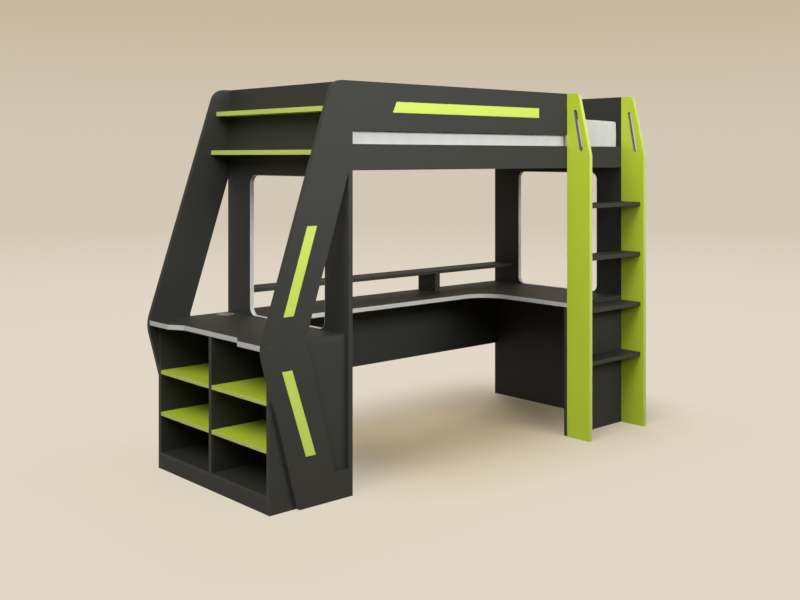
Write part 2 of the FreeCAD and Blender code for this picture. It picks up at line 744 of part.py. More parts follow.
def fixings():
    for share in PLATE_DOWEL_SHARES:
        z = f"bed_height * {share}"
        dowel("+y", ("-board / 2", "board - dowel_bite", z), ["front_side_plate", "head_end_panel"])
        dowel("-y", ("-board / 2", f"{BACK_FACE} + dowel_bite", z), ["back_side_plate", "head_end_panel"])
    for share in STILE_DOWEL_SHARES:
        spot = ("bed_length + board / 2", "-dowel_bite", f"bed_height * {share}")
        dowel("+y", spot, ["right_ladder_stile", "foot_end_panel"])
    screw = [("screw_head", "screw_head_height"), ("screw_diameter", "screw_length")]
    x = "bed_length - ladder_width - board / 2"
    for rail, base, height in (
        ("front_guard_rail", GUARD_BASE, "guard_height"),
        ("front_side_rail", "side_rail_base", "side_rail_height"),
        ("desk_leg_panel", "0", DESK_BASE),
    ):
        for share in PAIR_SHARES:
            spot = (x, "board", f"{base} + ({height}) * {share}")
            fastener("ladder_screws", "-y", spot, screw, [rail, "left_ladder_stile"])
    z = "desk_height - board / 2"
    for number in range(2):
        x = f"-desk_reach + desk_screw_front + {number} * desk_screw_pitch"
        for aim, face, plate in (("+y", "0", "front_side_plate"), ("-y", "bed_width", "back_side_plate")):
            cap = [("cover_cap_diameter", "cover_cap_thickness")]
            fastener("cover_caps", aim, (x, face, z), cap, [plate])
            seat = f"{face} {aim[0]} (cover_cap_thickness + play)"
            fastener("desk_screws", aim, (x, seat, z), screw, [plate, "left_desk_top"])
    bolt = [("bolt_head", "bolt_head_height"), ("bolt_diameter", "bolt_length")]
    for rail, y, aim, base, height in (
        ("front_side_rail", "board", "-y", "side_rail_base", "side_rail_height"),
        ("back_side_rail", BACK_FACE, "+y", "side_rail_base", "side_rail_height"),
        ("back_guard_rail", BACK_FACE, "+y", GUARD_BASE, "guard_height"),
    ):
        for share in PAIR_SHARES:
            z = f"{base} + {height} * {share}"
            middle = f"{y} {aim[0]} board / 2"
            nut = f"barrel_nuts_{len(groups.get('barrel_nuts', [])) + 1}"
            spot = ("bed_length + board", middle, z)
            fastener("rail_bolts", "-x", spot, bolt, [rail, "foot_end_panel", nut])
            spot = ("bed_length - nut_setback", y, z)
            fastener("barrel_nuts", aim, spot, [("nut_diameter", "nut_length")], [rail])


def brackets():
    leg = "bracket_leg"
    thin = "bracket_thickness"
    front = [("0", "0"), (leg, "0"), (leg, thin), (thin, thin, "bracket_bend"), (thin, leg), ("0", leg)]
    back = [(x, f"{leg} - {y}", *radius) for x, y, *radius in front]
    back = [(x, "0" if y == f"{leg} - {leg}" else y, *radius) for x, y, *radius in back][::-1]
    screw = [("small_screw_head", "small_screw_head_height"),
             ("small_screw_diameter", "small_screw_length")]
    low = "side_rail_base + bracket_rise"
    high = "bed_height - bracket_drop - bracket_height"
    for rail, outline, y, face, aim, z in (
        ("front_side_rail", front, "board", "board", "-y", low),
        ("front_guard_rail", front, "board", "board", "-y", high),
        ("back_side_rail", back, f"{BACK_FACE} - bracket_leg", BACK_FACE, "+y", low),
        ("back_guard_rail", back, f"{BACK_FACE} - bracket_leg", BACK_FACE, "+y", high),
    ):
        name = f"{rail}_bracket"
        bracket = sawn(name, "XY_Plane", outline, "bracket_height", group="corner_brackets")
        place(bracket, "0", y, z)
        out = "+" if aim[0] == "-" else "-"
        for share in PAIR_SHARES:
            height = f"{z} + bracket_height * {share}"
            along = f"bracket_leg * {BRACKET_HOLE_SHARE}"
            lift = "(bracket_thickness + small_screw_head_height)"
            spot = (along, f"{face} {out} {lift}", height)
            fastener("bracket_screws", aim, spot, screw, [name, rail])
            spot = (lift, f"{face} {out} {along}", height)
            fastener("bracket_screws", "-x", spot, screw, [name, "head_end_panel"])


def finished(name):
    """A piece with its bores taken out."""
    if name not in bores:
        return pieces[name]
    tool = doc.addObject("Part::Compound", name + "_bores")
    tool.Links = bores[name]
    cut = doc.addObject("Part::Cut", name + "_bored")
    cut.Base = pieces[name]
    cut.Tool = tool
    return cut


def export():
    nodes = []
    for node, members in groups.items():
        done = [finished(name) for name in members]
        if len(done) > 1:
            group = doc.addObject("Part::Compound", node + "_group")
            group.Links = done
            done = [group]
        done[0].Label = node
        nodes.append(done[0])
    doc.recompute()
    for thing in doc.Objects:
        if "Invalid" in thing.State or "Error" in thing.State:
            raise RuntimeError(f"{thing.Name}: {thing.State}")
    os.makedirs("parts", exist_ok=True)
    for node in nodes:
        if node.Shape.isNull() or not node.Shape.isValid() or not node.Shape.Solids:
            raise RuntimeError(f"{node.Label}: the shape is not sound")
        node.Shape.exportStep(f"parts/{node.Label}.step")
    print(len(nodes), "parts")


side_plates()
end_panels()
rails()
slats()
mattress()
head_shelves()
bookcase()
left_desk()
corner_desk()
monitor_shelf()
grommet()
ladder()
fixings()
brackets()
export()
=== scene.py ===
"""Dresses the high sleeper bed: finishes for its boards, a sewn mattress, turned fasteners and a plain stage.

Metres, +Z up, +X towards the ladder end. The boards are shown as the frame holds them, with eased edges.
"""
import math

import bpy
import numpy as np
from bpy.props import FloatProperty, FloatVectorProperty, PointerProperty
from bpy.types import Operator, Panel, PropertyGroup
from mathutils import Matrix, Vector, noise


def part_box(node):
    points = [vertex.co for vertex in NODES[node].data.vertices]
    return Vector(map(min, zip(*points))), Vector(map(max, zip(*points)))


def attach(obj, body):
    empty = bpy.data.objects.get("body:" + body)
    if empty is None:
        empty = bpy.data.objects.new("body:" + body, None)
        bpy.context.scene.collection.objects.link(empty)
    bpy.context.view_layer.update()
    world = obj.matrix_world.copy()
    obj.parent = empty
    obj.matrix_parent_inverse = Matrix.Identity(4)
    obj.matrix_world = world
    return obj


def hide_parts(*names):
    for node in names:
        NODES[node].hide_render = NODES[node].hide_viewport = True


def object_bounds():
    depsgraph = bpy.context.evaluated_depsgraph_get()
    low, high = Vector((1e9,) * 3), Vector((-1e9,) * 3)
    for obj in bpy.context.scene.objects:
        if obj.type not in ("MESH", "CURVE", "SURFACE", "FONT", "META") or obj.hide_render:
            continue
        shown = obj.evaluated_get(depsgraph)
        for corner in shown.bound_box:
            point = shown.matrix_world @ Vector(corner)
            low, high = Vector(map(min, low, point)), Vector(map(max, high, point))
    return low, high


bl_info = {
    "name": "High sleeper bed",
    "version": (1, 0, 0),
    "blender": (4, 5, 0),
    "location": "View3D > Sidebar > Sleeper",
    "description": "Dresses the frame of a high sleeper bed and sets it on a plain stage",
    "category": "Object",
}

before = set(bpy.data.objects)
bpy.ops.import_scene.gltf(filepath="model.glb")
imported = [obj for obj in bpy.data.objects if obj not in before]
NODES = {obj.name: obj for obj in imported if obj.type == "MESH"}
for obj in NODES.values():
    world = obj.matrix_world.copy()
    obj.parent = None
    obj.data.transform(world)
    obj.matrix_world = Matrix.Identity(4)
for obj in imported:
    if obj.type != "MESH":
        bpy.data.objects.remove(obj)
CAD_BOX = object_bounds()
BED_LOW, BED_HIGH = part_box("mattress")


# What a user would change

class BoardSettings(PropertyGroup):
    """Colours and edges of the boards and their bands."""

    charcoal: FloatVectorProperty(
        name="Charcoal", description="Face of the dark boards", subtype="COLOR", min=0, max=1,
        default=(0.030, 0.031, 0.0275))
    lime: FloatVectorProperty(
        name="Lime", description="Face of the lime boards", subtype="COLOR", min=0, max=1,
        default=(0.52, 0.66, 0.044))
    # Made lighter, the edge colours are also the colour of the painted edge highlight and the rubbed wear on
    # the boards.
    charcoal_edge: FloatVectorProperty(
        name="Charcoal edge", description="Band on the narrow faces of the dark boards", subtype="COLOR",
        min=0, max=1, default=(0.036, 0.037, 0.033))
    lime_edge: FloatVectorProperty(
        name="Lime edge", description="Band on the narrow faces of the lime boards", subtype="COLOR",
        min=0, max=1, default=(0.54, 0.63, 0.14))
    # The slot band's dark grey is painted shade: it makes the slit inside each hand slot read dark.
    slot: FloatVectorProperty(
        name="Slot", description="Band that lines the hand slots", subtype="COLOR", min=0, max=1,
        default=(0.26, 0.26, 0.24))
    inlay: FloatVectorProperty(
        name="Inlay", description="Lime strips let into the dark boards", subtype="COLOR", min=0, max=1,
        default=(0.53, 0.67, 0.10))
    pale: FloatVectorProperty(
        name="Edging", description="Pale bands round desks and windows", subtype="COLOR",
        min=0, max=1, default=(0.53, 0.54, 0.52))
    arris: FloatProperty(
        name="Arris", description="Width of the eased edge of a board", unit="LENGTH", min=0,
        default=0.0011)
    band: FloatProperty(
        name="Slot band", description="Thickness of the band that lines a hand slot", unit="LENGTH", min=0,
        default=0.0012)
    grommet: FloatVectorProperty(
        name="Grommet", description="Sleeve and cap of the cable grommet", subtype="COLOR", min=0, max=1,
        default=(0.17, 0.174, 0.168))
    cap: FloatVectorProperty(
        name="Cover caps", description="Caps over the screws of the plates", subtype="COLOR", min=0, max=1,
        default=(0.022, 0.022, 0.02))


class MattressSettings(PropertyGroup):
    """Shape and cover of the mattress."""

    cover: FloatVectorProperty(
        name="Cover", description="Knitted cover", subtype="COLOR", min=0, max=1,
        default=(0.575, 0.575, 0.555))
    spacing: FloatProperty(
        name="Spacing", description="Distance between the threads of the mesh", unit="LENGTH", min=0.004,
        default=0.017)
    roll: FloatProperty(
        name="Roll", description="Radius of the rolled edges", unit="LENGTH", min=0.001, default=0.02)
    corner: FloatProperty(
        name="Corner", description="Radius of the upright corners", unit="LENGTH", min=0.001, default=0.010)
    crown: FloatProperty(
        name="Crown", description="Rise of the top from its rim to its middle", unit="LENGTH", min=0,
        default=0.003)
    droop: FloatProperty(
        name="Droop", description="Fall of the top towards its two ends", unit="LENGTH", min=0, default=0.007)
    run: FloatProperty(
        name="Run", description="Length at each end over which the top falls", unit="LENGTH", min=0.01,
        default=0.4)
    swell: FloatProperty(
        name="Swell", description="Most that the filling pushes the cover out", unit="LENGTH", min=0.0001,
        default=0.003)
    pressure: FloatProperty(
        name="Pressure", description="Pressure of the filling on the cover", min=0, default=4)
    tape: FloatProperty(
        name="Tape", description="How far the taped edges stand out of the rolled ones", unit="LENGTH", min=0,
        default=0.0022)
    crease: FloatProperty(
        name="Crease", description="Height of the soft creases in the border", unit="LENGTH", min=0,
        default=0.0012)


class StageSettings(PropertyGroup):
    """Floor, light and camera."""

    floor: FloatVectorProperty(
        name="Floor", description="Pale floor", subtype="COLOR", min=0, max=1, default=(0.70, 0.565, 0.365))
    bounce: FloatProperty(
        name="Bounce", description="Share of the floor's colour that it throws back on the bed",
        subtype="FACTOR", min=0, max=1, default=0.25)
    sweep: FloatVectorProperty(
        name="Sweep", description="Floor away from the bed", subtype="COLOR", min=0, max=1,
        default=(0.765, 0.685, 0.575))
    haze: FloatVectorProperty(
        name="Horizon", description="Backdrop where the floor ends", subtype="COLOR", min=0, max=1,
        default=(0.655, 0.575, 0.468))
    sky: FloatVectorProperty(
        name="Backdrop", description="Backdrop overhead", subtype="COLOR", min=0, max=1,
        default=(0.575, 0.475, 0.35))
    ambient: FloatProperty(
        name="Ambient", description="Level of the even light from all round", min=0, default=0.11)
    key: FloatProperty(
        name="Key", description="Power of the front lamp", subtype="POWER", min=0, default=53)
    fill: FloatProperty(
        name="Fill", description="Power of the side lamp", subtype="POWER", min=0, default=96)
    back: FloatProperty(
        name="Back", description="Power of the lamp behind", subtype="POWER", min=0, default=62)
    eye: FloatVectorProperty(
        name="Eye", description="Place of the camera", subtype="TRANSLATION", unit="LENGTH",
        default=(-3.6454, -3.9534, 1.470))
    yaw: FloatProperty(
        name="Yaw", description="Turn of the camera from the bed's width", subtype="ANGLE",
        default=math.radians(41.87))
    lens: FloatProperty(
        name="Lens", description="Focal length", subtype="DISTANCE_CAMERA", min=1, default=47.585)
    drop: FloatProperty(
        name="Drop", description="Shift of the view below the horizon, as a share of its width",
        default=-0.17925)


# Shader expressions

class Wire:
    """A node's output that takes part in sums."""

    def __init__(self, paint, socket):
        self.paint = paint
        self.socket = socket

    def __add__(self, other):
        return self.paint.sum("ADD", self, other)

    def __sub__(self, other):
        return self.paint.sum("SUBTRACT", self, other)

    def __rsub__(self, other):
        return self.paint.sum("SUBTRACT", other, self)

    def __mul__(self, other):
        return self.paint.sum("MULTIPLY", self, other)

    def __pow__(self, other):
        return self.paint.sum("POWER", self, other)


class Paint:
    """A node tree that is written as expressions."""

    def __init__(self, tree):
        self.tree = tree

    def node(self, kind, settings=None, sockets=None, out=None):
        """Adds a node, makes its settings, fills its sockets and gives one of its outputs."""
        made = self.tree.nodes.new(kind)
        for name, setting in (settings or {}).items():
            setattr(made, name, setting)
        for name, entry in (sockets or {}).items():
            socket = next(s for s in made.inputs if s.enabled and name in (s.identifier, s.name))
            if isinstance(entry, Wire):
                self.tree.links.new(entry.socket, socket)
            else:
                socket.default_value = entry
        return next((Wire(self, s) for s in made.outputs if s.enabled and out in (None, s.name)), None)

    def sum(self, operation, *terms):
        """One step of arithmetic on values."""
        return self.node("ShaderNodeMath", {"operation": operation},
                         dict(zip(("Value", "Value_001"), terms)))

    def mix(self, share, first, second):
        """The first colour at share 0, the second at 1."""
        return self.node("ShaderNodeMix", {"data_type": "RGBA"}, {"Factor": share, "A": first, "B": second})

    def spot(self, stretch=None):
        """Place on the piece in metres, stretched along its axes if asked."""
        place = self.node("ShaderNodeTexCoord", out="Object")
        if stretch is None:
            return place
        return self.node("ShaderNodeVectorMath", {"operation": "MULTIPLY"},
                         {"Vector": place, "Vector_001": stretch})

    def cloud(self, spot, scale, detail=2.0, rough=0.5):
        """Soft noise about 0.5; its forms are about 1 / scale metres wide."""
        return self.node("ShaderNodeTexNoise", None,
                         {"Vector": spot, "Scale": scale, "Detail": detail, "Roughness": rough})

    def wave(self, spot, way, scale, distortion=0.0, detail=2.0):
        """Soft parallel bands across one way, from 0 to 1."""
        sockets = {"Vector": spot, "Scale": scale, "Distortion": distortion, "Detail": detail}
        return self.node("ShaderNodeTexWave", {"bands_direction": way}, sockets, out="Fac")

    def ramp(self, value, low, high):
        """0 below low, 1 above high and a smooth rise between."""
        return self.node("ShaderNodeMapRange", {"interpolation_type": "SMOOTHSTEP"},
                         {"Value": value, "From Min": low, "From Max": high})

    def arris(self, reach):
        """1 along the edges of a piece, 0 on its faces."""
        rounded = self.node("ShaderNodeBevel", {"samples": 4}, {"Radius": reach})
        facing = self.node("ShaderNodeNewGeometry", out="Normal")
        alike = self.node("ShaderNodeVectorMath", {"operation": "DOT_PRODUCT"},
                          {"Vector": rounded, "Vector_001": facing}, out="Value")
        starts, full = 0.004, 0.12
        return self.ramp(1 - alike, starts, full)

    def bump(self, *layers):
        """Normal of a surface with layers of (height, strength, distance)."""
        sockets = {}
        for height, strength, distance in layers:
            sockets.update({"Height": height, "Strength": strength, "Distance": distance})
            sockets["Normal"] = self.node("ShaderNodeBump", None, sockets)
        return sockets["Normal"]


def tone(colour, share=1.0):
    """A colour made lighter or darker, as a socket takes it."""
    return (*(min(1.0, channel * share) for channel in colour), 1.0)


def finish(name, fixed, varied):
    """A material: fixed values on the shader's own sockets, and what varied(paint) gives for the others."""
    material = bpy.data.materials.new(name)
    material.use_nodes = True
    paint = Paint(material.node_tree)
    shader = next(n for n in material.node_tree.nodes if n.type == "BSDF_PRINCIPLED")
    for socket, number in fixed.items():
        shader.inputs[socket].default_value = number
    for socket, wire in varied(paint).items():
        material.node_tree.links.new(wire.socket, shader.inputs[socket])
    return material


# Finishes

def melamine(name, colour, edge, thin, gloss):
    """Melamine-faced board: cloudy print, fine flecks and pearl grain, with a band on its narrow faces.

    thin is the axis along which the board is thin, so the faces that look along it are its wide ones.
    """

    def varied(paint):
        spot = paint.spot()
        facing = paint.node("ShaderNodeNewGeometry", out="True Normal")
        across = paint.node("ShaderNodeSeparateXYZ", None, {"Vector": facing}, out=thin)
        band = 1 - paint.ramp(paint.sum("ABSOLUTE", across), 0.55, 0.8)
        cloud = paint.cloud(spot, scale=1.9, detail=4)
        fleck = paint.cloud(spot, scale=380, detail=1)
        smear = paint.cloud(paint.spot((1.0, 1.0, 0.35)), scale=7, detail=5, rough=0.62)
        rub = paint.cloud(spot, scale=45, detail=4)
        arris = paint.arris(0.0016)
        shade = (cloud - 0.5) * 1.3 + (fleck - 0.5) * 0.5 + 0.5
        face = paint.mix(shade, tone(colour, 0.93), tone(colour, 1.07))
        face = paint.mix(band, face, paint.mix(shade, tone(edge, 0.95), tone(edge, 1.05)))
        # Edges are lightened towards the edge colour: rubbed wear where the rub noise is high, and along
        # every edge an even painted highlight (arris * 0.06).
        worn = arris * paint.ramp(rub, 0.3, 0.75)
        pearl = paint.node("ShaderNodeTexVoronoi", {"feature": "SMOOTH_F1"},
                           {"Vector": spot, "Scale": 430, "Smoothness": 0.8}, out="Distance")
        return {
            "Base Color": paint.mix(worn * 0.35 + arris * 0.06, face, tone(edge, 1.4)),
            "Roughness": (smear - 0.5) * 0.13 + (fleck - 0.5) * 0.06 - arris * 0.07 - band * 0.06 + gloss,
            "Normal": paint.bump((pearl, 0.09, 0.0006), (smear, 0.03, 0.002)),
        }

    return finish(name, {"Specular IOR Level": 0.22}, varied)


def strip_acrylic(name, colour):
    """Satin acrylic strip with faint draw lines along it, and a painted highlight that lightens its edges."""

    def varied(paint):
        spot = paint.spot()
        cloud = paint.cloud(spot, scale=6, detail=3)
        draw = paint.cloud(paint.spot((0.25, 1.0, 1.0)), scale=260)
        # Painted highlight: every edge of the strip is lightened towards a brighter lime.
        arris = paint.arris(0.0012)
        shade = (cloud - 0.5) * 0.9 + (draw - 0.5) * 0.4 + 0.5
        face = paint.mix(shade, tone(colour, 0.95), tone(colour, 1.05))
        return {
            "Base Color": paint.mix(arris * 0.5, face, tone(colour, 1.3)),
            "Roughness": (draw - 0.5) * 0.1 + (cloud - 0.5) * 0.08 + 0.33,
            "Normal": paint.bump((draw, 0.05, 0.0004)),
        }

    return finish(name, {"Coat Roughness": 0.25, "Specular IOR Level": 0.5}, varied)


def band_plastic(name, colour, gloss):
    """Extruded band or moulded cap: fine spark texture, slight yellowing and soft scuffs."""

    def varied(paint):
        spot = paint.spot()
        cloud = paint.cloud(spot, scale=4, detail=3)
        spark = paint.cloud(spot, scale=650)
        scuff = paint.cloud(paint.spot((1.0, 1.0, 6.0)), scale=30, detail=5, rough=0.7)
        scuff = paint.ramp(scuff, 0.55, 0.75)
        arris = paint.arris(0.001)
        face = paint.mix((cloud - 0.5) * 1.1 + 0.5, tone(colour, 0.94), tone(colour, 1.04))
        return {
            "Base Color": paint.mix(scuff * 0.25 + arris * 0.15, face, tone(colour, 0.86)),
            "Roughness": (spark - 0.5) * 0.12 + scuff * 0.12 + gloss,
            "Normal": paint.bump((spark, 0.12, 0.0003), (cloud, 0.02, 0.002)),
        }

    return finish(name, {"Specular IOR Level": 0.45}, varied)


def planed_pine(name, along):
    """Planed softwood with growth rings, fibres and darker latewood along one axis."""
    stretch = tuple(0.05 if axis == along else 1.0 for axis in "XYZ")
    light = (0.58, 0.40, 0.21)
    late = (0.40, 0.235, 0.10)

    def varied(paint):
        spot = paint.spot(stretch)
        rings = paint.node("ShaderNodeTexWave", {"wave_type": "RINGS", "rings_direction": along},
                           {"Vector": spot, "Scale": 19.0, "Distortion": 5.0, "Detail": 3.0,
                            "Detail Scale": 1.6}, out="Fac")
        fibre = paint.cloud(spot, scale=520, detail=3)
        board = paint.cloud(paint.spot(), scale=5)
        grain = paint.ramp(rings, 0.45, 1.0) * 0.65 + (fibre - 0.5) * 0.5 + (board - 0.5) * 0.4 + 0.1
        arris = paint.arris(0.0015)
        face = paint.mix(grain, tone(light), tone(late))
        return {
            "Base Color": paint.mix(arris * 0.3, face, tone(light, 1.15)),
            "Roughness": (fibre - 0.5) * 0.2 + rings * 0.06 + 0.5,
            "Normal": paint.bump((fibre, 0.16, 0.0004), (rings, 0.05, 0.0005)),
        }

    return finish(name, {"Specular IOR Level": 0.35}, varied)


def woven_tape(name):
    """Flat polyester webbing: weft ribs across and warp yarns along."""
    dark = (0.36, 0.34, 0.29)
    light = (0.52, 0.50, 0.44)

    def varied(paint):
        spot = paint.spot()
        rib = paint.wave(spot, "X", scale=130.0)
        yarn = paint.wave(spot, "Y", scale=210.0)
        fuzz = paint.cloud(spot, scale=900)
        weave = rib * 0.5 + yarn * 0.35 + fuzz * 0.2
        return {
            "Base Color": paint.mix(weave, tone(dark), tone(light)),
            "Roughness": 0.95 - rib * 0.12,
            "Normal": paint.bump((weave, 0.4, 0.0006)),
        }

    return finish(name, {"Sheen Weight": 0.25, "Sheen Roughness": 0.5}, varied)


def zinc_plate(name):
    """Zinc-plated steel with a faint spangle, turning lines and dull patches."""

    def varied(paint):
        spot = paint.spot()
        spangle = paint.node("ShaderNodeTexVoronoi", None, {"Vector": spot, "Scale": 260.0}, out="Color")
        flake = paint.node("ShaderNodeSeparateColor", None, {"Color": spangle}, out="Red")
        dull = paint.cloud(spot, scale=60, detail=4)
        arris = paint.arris(0.0006)
        face = paint.mix(flake * 0.5 + dull * 0.5, (0.50, 0.51, 0.53, 1), (0.70, 0.71, 0.72, 1))
        return {
            "Base Color": paint.mix(arris * 0.5, face, (0.82, 0.83, 0.84, 1)),
            "Roughness": (dull - 0.5) * 0.3 + flake * 0.06 + 0.34,
            "Normal": paint.bump((dull, 0.05, 0.0004)),
        }

    return finish(name, {"Metallic": 1.0}, varied)


def knitted_cover(name, colour):
    """Stretch-knit mattress cover: loops in fine courses, a soft lozenge relief and slow shading."""

    def varied(paint):
        spot = paint.spot()
        course = paint.wave(spot, "X", scale=95.0, distortion=0.6, detail=1.0)
        wale = paint.wave(spot, "DIAGONAL", scale=80.0, distortion=0.4)
        turned = paint.node("ShaderNodeVectorRotate", {"rotation_type": "Z_AXIS"},
                            {"Vector": spot, "Angle": math.radians(45)})
        lozenge = (paint.wave(turned, "X", scale=4.6) ** 0.35) * (paint.wave(turned, "Y", scale=4.6) ** 0.35)
        loops = course * wale
        cloud = paint.cloud(spot, scale=3.5, detail=4)
        fuzz = paint.cloud(spot, scale=800)
        shade = (cloud - 0.5) * 0.7 + lozenge * 0.25 + loops * 0.2 + (fuzz - 0.5) * 0.2 + 0.3
        return {
            "Base Color": paint.mix(shade, tone(colour, 0.92), tone(colour, 1.05)),
            "Roughness": 0.92 - loops * 0.1,
            "Normal": paint.bump((loops, 0.25, 0.0006), (lozenge, 0.22, 0.0022), (fuzz, 0.08, 0.0004)),
        }

    return finish(name, {"Sheen Weight": 0.3, "Sheen Roughness": 0.45, "Specular IOR Level": 0.25}, varied)


MATERIALS = {}
EASED_SHARE = 0.2  # of a thin piece's thickness, the most that an eased edge takes


def coat(*names, using):
    """Gives nodes of the frame a finish and eased edges; a board's finish is the one for its thin way."""
    arris = bpy.context.scene.sleeper_boards.arris
    for name in names:
        piece = NODES[name]
        low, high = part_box(name)
        size = high - low
        thin = "XYZ"[min(range(3), key=lambda axis: size[axis])]
        piece.data.materials.clear()
        piece.data.materials.append(MATERIALS.get(f"{using} {thin}") or MATERIALS[using])
        ease(piece, min(arris, min(size) * EASED_SHARE))


def ease(piece, width):
    """Takes the sharp edge off a piece."""
    weld = piece.modifiers.new("joined corners", "WELD")
    weld.merge_threshold = 1e-6
    flat = piece.modifiers.new("whole faces", "DECIMATE")
    flat.decimate_type = "DISSOLVE"
    flat.angle_limit = math.radians(0.02)
    bevel = piece.modifiers.new("eased edges", "BEVEL")
    bevel.width = width
    bevel.segments = 2
    bevel.limit_method = "ANGLE"
    bevel.angle_limit = math.radians(40)
    bevel.use_clamp_overlap = True
    shading = piece.modifiers.new("even shading", "WEIGHTED_NORMAL")
    shading.keep_sharp = False
    shading.weight = 60


# Pieces made here

def mesh_piece(name, points, faces, material):
    """Adds a smooth mesh as a piece that rides on the bed."""
    mesh = bpy.data.meshes.new(name)
    mesh.from_pydata([tuple(p) for p in points], [], faces)
    mesh.materials.append(MATERIALS[material])
    mesh.shade_smooth()
    piece = bpy.data.objects.new(name, mesh)
    bpy.context.scene.collection.objects.link(piece)
    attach(piece, "bed")
    return piece


ROLL_ANGLES = (15, 30, 45)  # of the mesh lines on half a rolled edge
FILL_FRAMES = 20
ROOM = 0.0005  # that the mattress leaves inside the box of its solid


def stations(half, roll, spacing):
    """Places of the mesh lines across one side of the mattress, close together on its rolled edges."""
    flat = half - roll
    rolled = [flat + roll * math.tan(math.radians(angle)) for angle in ROLL_ANGLES]
    count = max(2, round(2 * flat / spacing))
    inner = [-flat + 2 * flat * step / count for step in range(count + 1)]
    return [-x for x in reversed(rolled)] + inner + rolled


def block_net(axes):
    """Points and faces of a closed block whose mesh lines are at the given places along x, y and z."""
    last = [len(axis) - 1 for axis in axes]
    index = {}
    faces = []

    def corner(*at):
        return index.setdefault(at, len(index))

    for axis in range(3):
        u, v = [a for a in range(3) if a != axis]
        for side in (0, last[axis]):
            for i in range(last[u]):
                for j in range(last[v]):
                    loop = []
                    for a, b in ((i, j), (i + 1, j), (i + 1, j + 1), (i, j + 1)):
                        at = [0, 0, 0]
                        at[axis], at[u], at[v] = side, a, b
                        loop.append(corner(*at))
                    outward = (side > 0) == (axis != 1)
                    faces.append(loop if outward else loop[::-1])
    grid = np.array(list(index))
    points = np.stack([np.array(axes[a])[grid[:, a]] for a in range(3)], axis=1)
    return points, faces, grid


def read_points(mesh):
    """Points of a mesh, one in each row."""
    flat = np.empty(len(mesh.vertices) * 3)
    mesh.vertices.foreach_get("co", flat)
    return flat.reshape(-1, 3)


def fill_cover(piece, held, look):
    """Lets the filling press the cover out, with its underside held on the slats."""
    scene = bpy.context.scene
    rest = read_points(piece.data)
    group = piece.vertex_groups.new(name="underside")
    group.add([int(i) for i in held], 1.0, "REPLACE")
    cloth = piece.modifiers.new("cover", "CLOTH")
    cloth.settings.quality = 5
    cloth.settings.vertex_group_mass = group.name
    cloth.settings.use_pressure = True
    cloth.settings.uniform_pressure_force = look.pressure
    cloth.settings.effector_weights.gravity = 0
    cloth.settings.tension_stiffness = 20
    cloth.settings.bending_stiffness = 1.5
    cloth.point_cache.frame_start = 1
    cloth.point_cache.frame_end = FILL_FRAMES
    for step in range(FILL_FRAMES):
        scene.frame_set(step + 1)
    filled = piece.evaluated_get(bpy.context.evaluated_depsgraph_get()).to_mesh()
    shift = read_points(filled) - rest
    piece.modifiers.remove(cloth)
    piece.vertex_groups.remove(group)
    scene.frame_set(1)
    length = np.maximum(np.linalg.norm(shift, axis=1, keepdims=True), 1e-9)
    return rest + shift / length * look.swell * np.tanh(length / look.swell)


def roll_edges(points, half, roll):
    """Draws the points of a block onto its rolled edges and corners."""
    flat = half - roll
    core = np.clip(points, -flat, flat)
    out = (points - core) / roll
    return core + roll * out / np.linalg.norm(out, axis=1, keepdims=True)


def crown_top(points, half, look):
    """Raises the middle of the top and lets its two ends fall."""
    across = 1 - np.abs(points[:, :2] / half[:2]) ** 3
    rise = np.clip(points[:, 2] / half[2] - 1, 0, 1)
    points[:, 2] += look.crown * np.clip(across, 0, 1).prod(axis=1) ** 0.6 * rise
    ends = np.clip(1 - (half[0] - np.abs(points[:, 0])) / look.run, 0, 1)
    points[:, 2] -= look.droop * ends ** 2 * rise


def fit_room(points, low, high):
    """The points stretched from the middle of the underside until they just fill the box of the solid."""
    middle = (low + high) / 2
    middle[2] = low[2]
    reach = np.array([*(high - low)[:2] / 2, (high - low)[2]]) - ROOM
    return middle + (points - middle) * reach / np.abs(points - middle).max(axis=0)


def border_crease(x, y, z):
    """Height of the creases at a place on the border, broad ones and half as high fine ones."""
    broad = noise.noise(Vector((x * 5 + z * 9, y * 5, z * 2)))
    fine = noise.noise(Vector((x * 17 - z * 30, y * 17, 4 + z)))
    return broad + 0.5 * fine


def sew_mattress():
    """The mattress: a rolled-edge block whose cover is crowned, filled, creased and taped along its edges."""
    look = bpy.context.scene.sleeper_mattress
    low = np.array(BED_LOW)
    high = np.array(BED_HIGH)
    size = (high - low) - 2 * np.array([look.swell + 3 * ROOM, look.swell * 0.5 + ROOM, 0])
    size[2] -= look.crown + look.swell
    half = size / 2
    roll = np.array([look.corner, look.corner, look.roll])
    axes = [stations(length, radius, look.spacing) for length, radius in zip(half, roll)]
    points, faces, grid = block_net(axes)
    points = roll_edges(points, half, roll)
    points += [0, 0, half[2]]
    crown_top(points, half, look)
    points += [*((low + high) / 2)[:2], low[2]]
    piece = mesh_piece("knit_mattress", points, faces, "knitted cover")
    points = fill_cover(piece, np.flatnonzero(grid[:, 2] == 0), look)
    last = grid.max(axis=0)
    rolled = len(ROLL_ANGLES)
    border = (grid[:, 2] > rolled) & (grid[:, 2] < last[2] - rolled)
    outer = (grid == 0) | (grid == last)
    taped = outer[:, 2] & (outer[:, 0] | outer[:, 1])
    outward = np.array([v.normal for v in piece.data.vertices])
    crease = np.array([border_crease(*point) for point in points])
    points += outward * (crease * look.crease * border + look.tape * taped)[:, None]
    points = fit_room(points, low, high)
    piece.data.vertices.foreach_set("co", points.ravel())
    piece.data.update()
    finer = piece.modifiers.new("finer knit", "SUBSURF")
    finer.levels = 1
    finer.render_levels = 1
    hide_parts("mattress")


